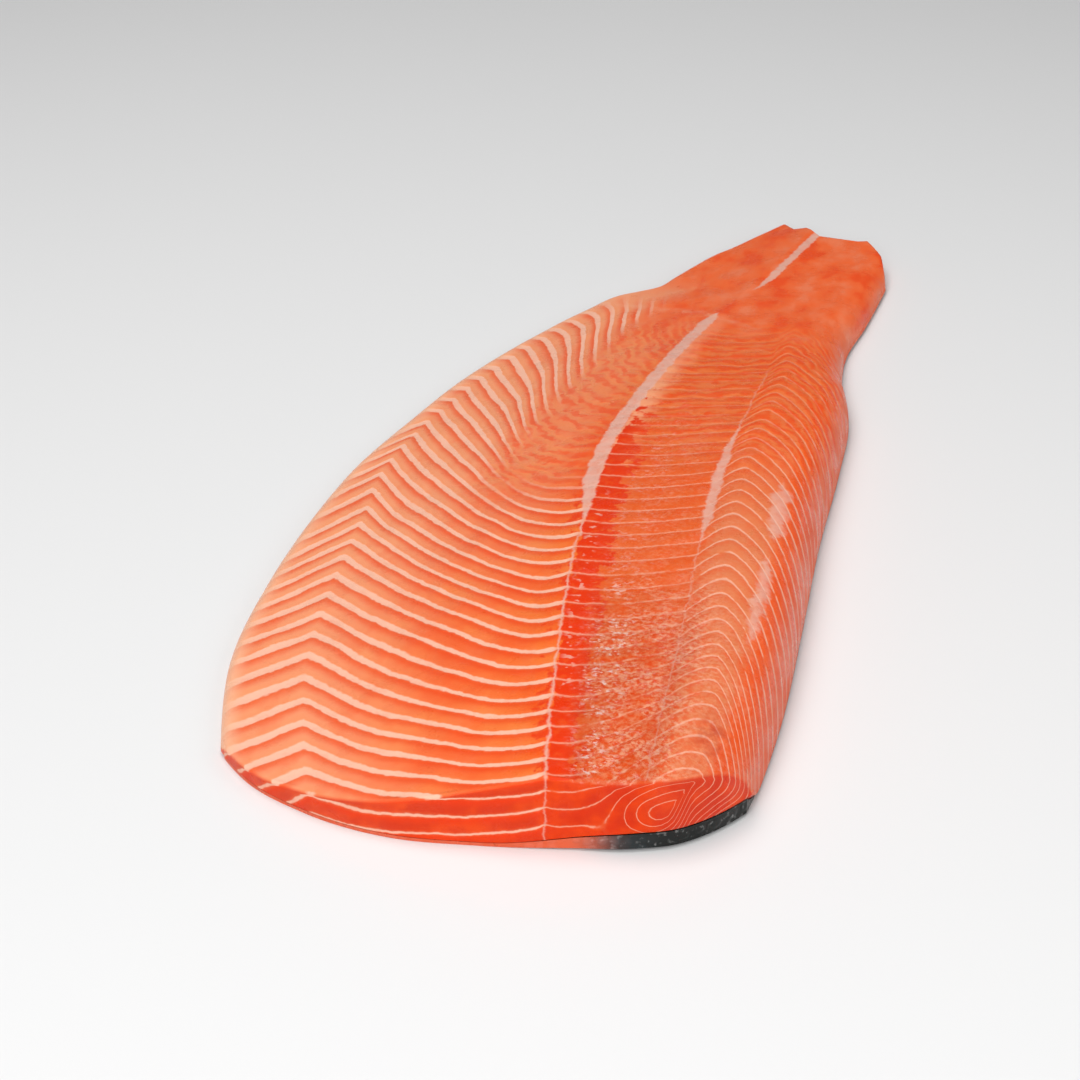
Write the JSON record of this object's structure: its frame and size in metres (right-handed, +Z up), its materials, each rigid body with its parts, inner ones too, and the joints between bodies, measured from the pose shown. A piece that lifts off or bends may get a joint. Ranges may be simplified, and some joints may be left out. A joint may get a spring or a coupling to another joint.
{
  "type": "raw salmon fillet",
  "caption": "Whole side of raw salmon lying skin side down: thick back, thin belly flap, straight head cut, narrow tail end, thin skin under the flesh",
  "frame": {"origin": "middle of the underside's bounding box, on the surface the fillet rests on", "axes": "+Y runs from the head cut to the tail end, +X from the belly edge to the thick back edge, +Z up"},
  "size_m": [0.2113, 0.5295, 0.033],
  "materials": {
    "salmon_flesh": "moist translucent orange flesh with pale lines between the muscle segments",
    "salmon_skin": "wet scaled skin, dark along the back and silver along the belly"
  },
  "bodies": {
    "root": {"flesh": "salmon_flesh", "skin": "salmon_skin"}
  },
  "joints": []
}
